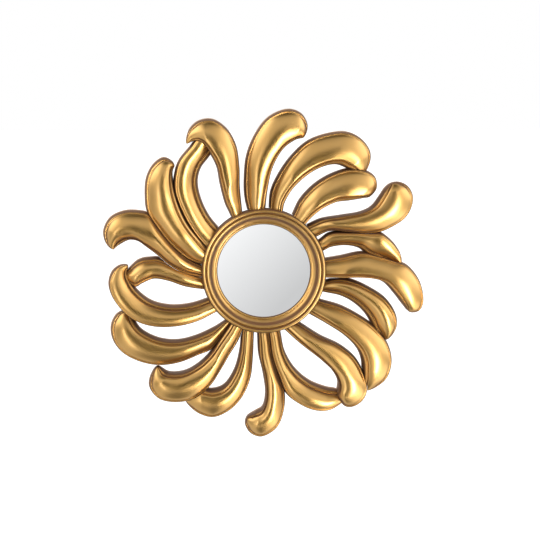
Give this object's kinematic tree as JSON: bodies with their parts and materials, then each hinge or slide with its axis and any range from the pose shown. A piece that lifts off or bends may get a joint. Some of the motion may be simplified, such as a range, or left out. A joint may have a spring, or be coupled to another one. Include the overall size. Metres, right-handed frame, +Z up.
{
  "type": "convex wall mirror",
  "caption": "Small round convex wall mirror in a gilt frame of swirling comma-shaped plumes, with a turned bezel, a backing board and a swinging D-ring hanger.",
  "frame": {"origin": "middle of the backing board's rear face, which faces the wall", "axes": "+Z up as the mirror hangs, -Y out of the mirror's face towards the room, +X to the viewer's right"},
  "size_m": [0.3254, 0.0349, 0.3328],
  "materials": {
    "gilt_resin": "satin antique gold leaf paint on moulded resin, brighter on the crests, browner on the side walls",
    "mirror_glass": "convex silvered glass, polished",
    "foam": "dark closed-cell foam",
    "plywood": "sanded birch plywood, bare",
    "fibreboard": "plain brown hardboard, smooth side out",
    "zinc_steel": "bright zinc plating",
    "pad_rubber": "matt black rubber"
  },
  "bodies": {
    "frame": {"plume_01": "gilt_resin", "plume_02": "gilt_resin", "plume_03": "gilt_resin", "plume_04": "gilt_resin", "plume_05": "gilt_resin", "plume_06": "gilt_resin", "plume_07": "gilt_resin", "plume_08": "gilt_resin", "plume_09": "gilt_resin", "plume_10": "gilt_resin", "plume_11": "gilt_resin", "plume_12": "gilt_resin", "plume_13": "gilt_resin", "plume_14": "gilt_resin", "plume_15": "gilt_resin", "plume_16": "gilt_resin", "plume_17": "gilt_resin", "plume_18": "gilt_resin", "plume_19": "gilt_resin", "plume_20": "gilt_resin", "bezel_ring": "gilt_resin", "mirror_glass": "mirror_glass", "gasket_ring": "foam", "carrier_ring": "plywood", "backing_board": "fibreboard", "board_screw_1": "zinc_steel", "board_screw_2": "zinc_steel", "board_screw_3": "zinc_steel", "board_screw_4": "zinc_steel", "hanger_strap": "zinc_steel", "hanger_screw": "zinc_steel", "bumper_pad_upper_right": "pad_rubber", "bumper_pad_lower_right": "pad_rubber", "bumper_pad_lower_left": "pad_rubber", "bumper_pad_upper_left": "pad_rubber"},
    "hanger_ring": {"d_ring": "zinc_steel"}
  },
  "joints": [
    {"name": "d_ring_swing", "type": "hinge", "parent": "frame", "child": "hanger_ring", "pos_m": [0, 0.00305, 0.0585], "axis": [1, 0, 0], "range_deg": [0, 178]}
  ]
}
